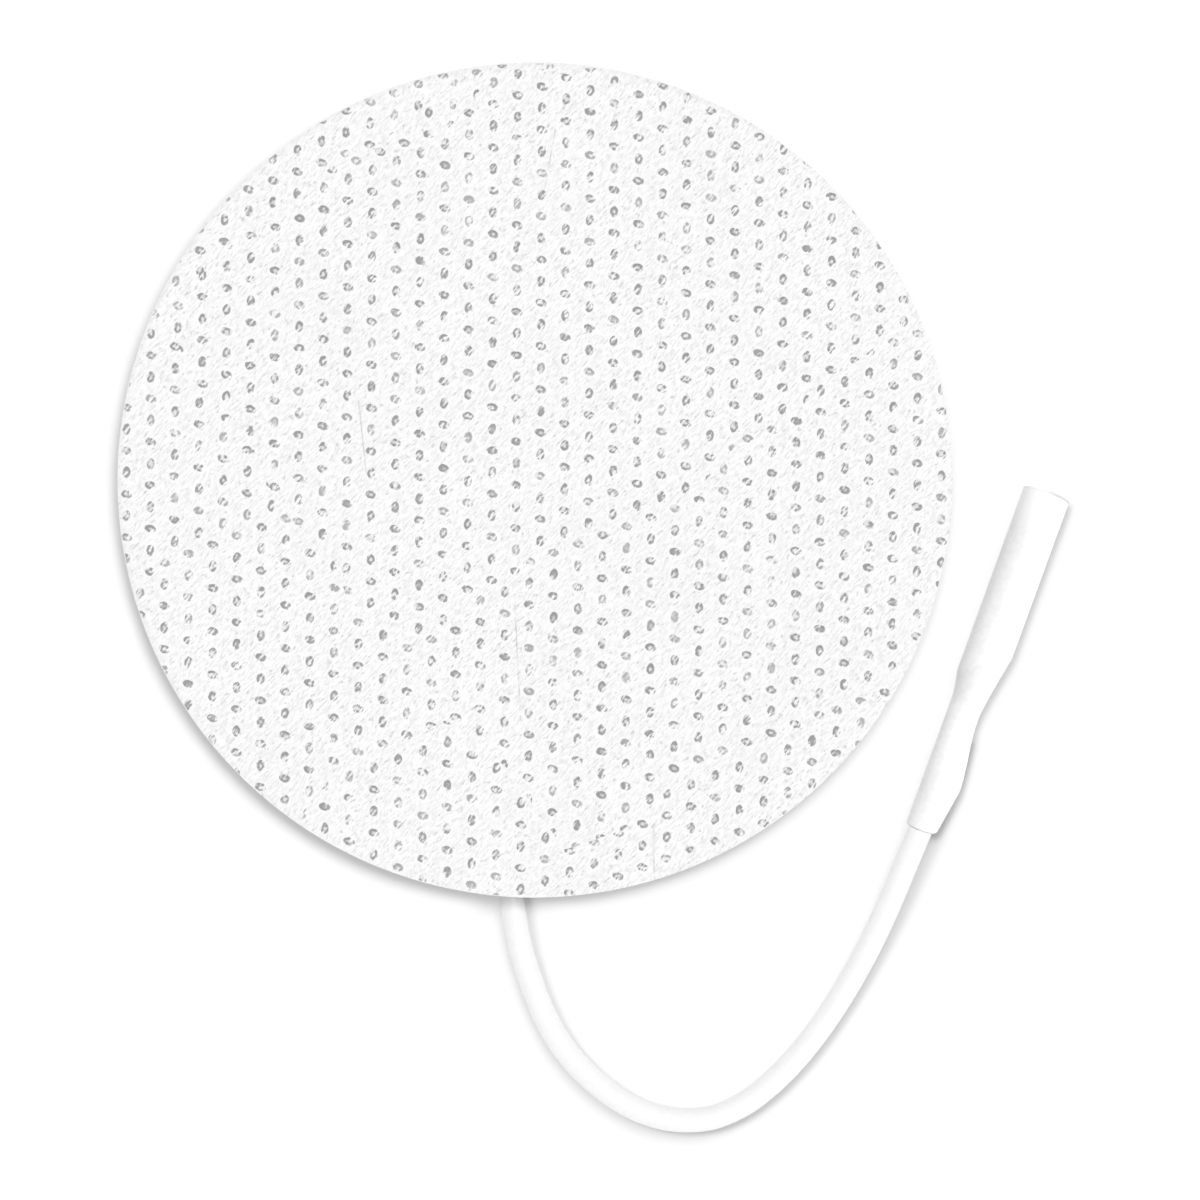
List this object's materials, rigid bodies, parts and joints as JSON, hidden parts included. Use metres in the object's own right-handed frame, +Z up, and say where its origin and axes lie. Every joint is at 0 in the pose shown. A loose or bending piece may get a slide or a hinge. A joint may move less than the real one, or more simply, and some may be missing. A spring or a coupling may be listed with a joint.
{
  "type": "round electrotherapy electrode",
  "caption": "Round self-adhesive skin electrode with a white non-woven cloth back, hydrogel face and a short white lead that ends in a sleeved socket for a thin pin.",
  "frame": {"origin": "on the surface that the electrode lies on, under the middle of the round disc", "axes": "+Z up through the disc from the gel to the cloth, +Y away from the lead's exit along the cloth's rows of bond points, +X to the right of the exit, where the socket lies"},
  "size_m": [0.0797, 0.0896, 0.004],
  "materials": {
    "backing_cloth": "matte white point-bonded non-woven cloth",
    "carbon_film": "matte black carbon-loaded film",
    "hydrogel": "clear, wet, sticky gel",
    "lead_insulation": "soft white insulation with a satin surface",
    "conductor_strands": "fine bare strands",
    "plated_contact": "smooth bright plating",
    "sleeve_plastic": "soft white moulded plastic, satin"
  },
  "bodies": {
    "root": {"backing_cloth": "backing_cloth", "carbon_film": "carbon_film", "hydrogel_pad": "hydrogel", "lead_wire": "lead_insulation", "fanned_strands": "conductor_strands", "crimped_strands": "conductor_strands", "socket_contact": "plated_contact", "socket_sleeve": "sleeve_plastic"}
  },
  "joints": []
}
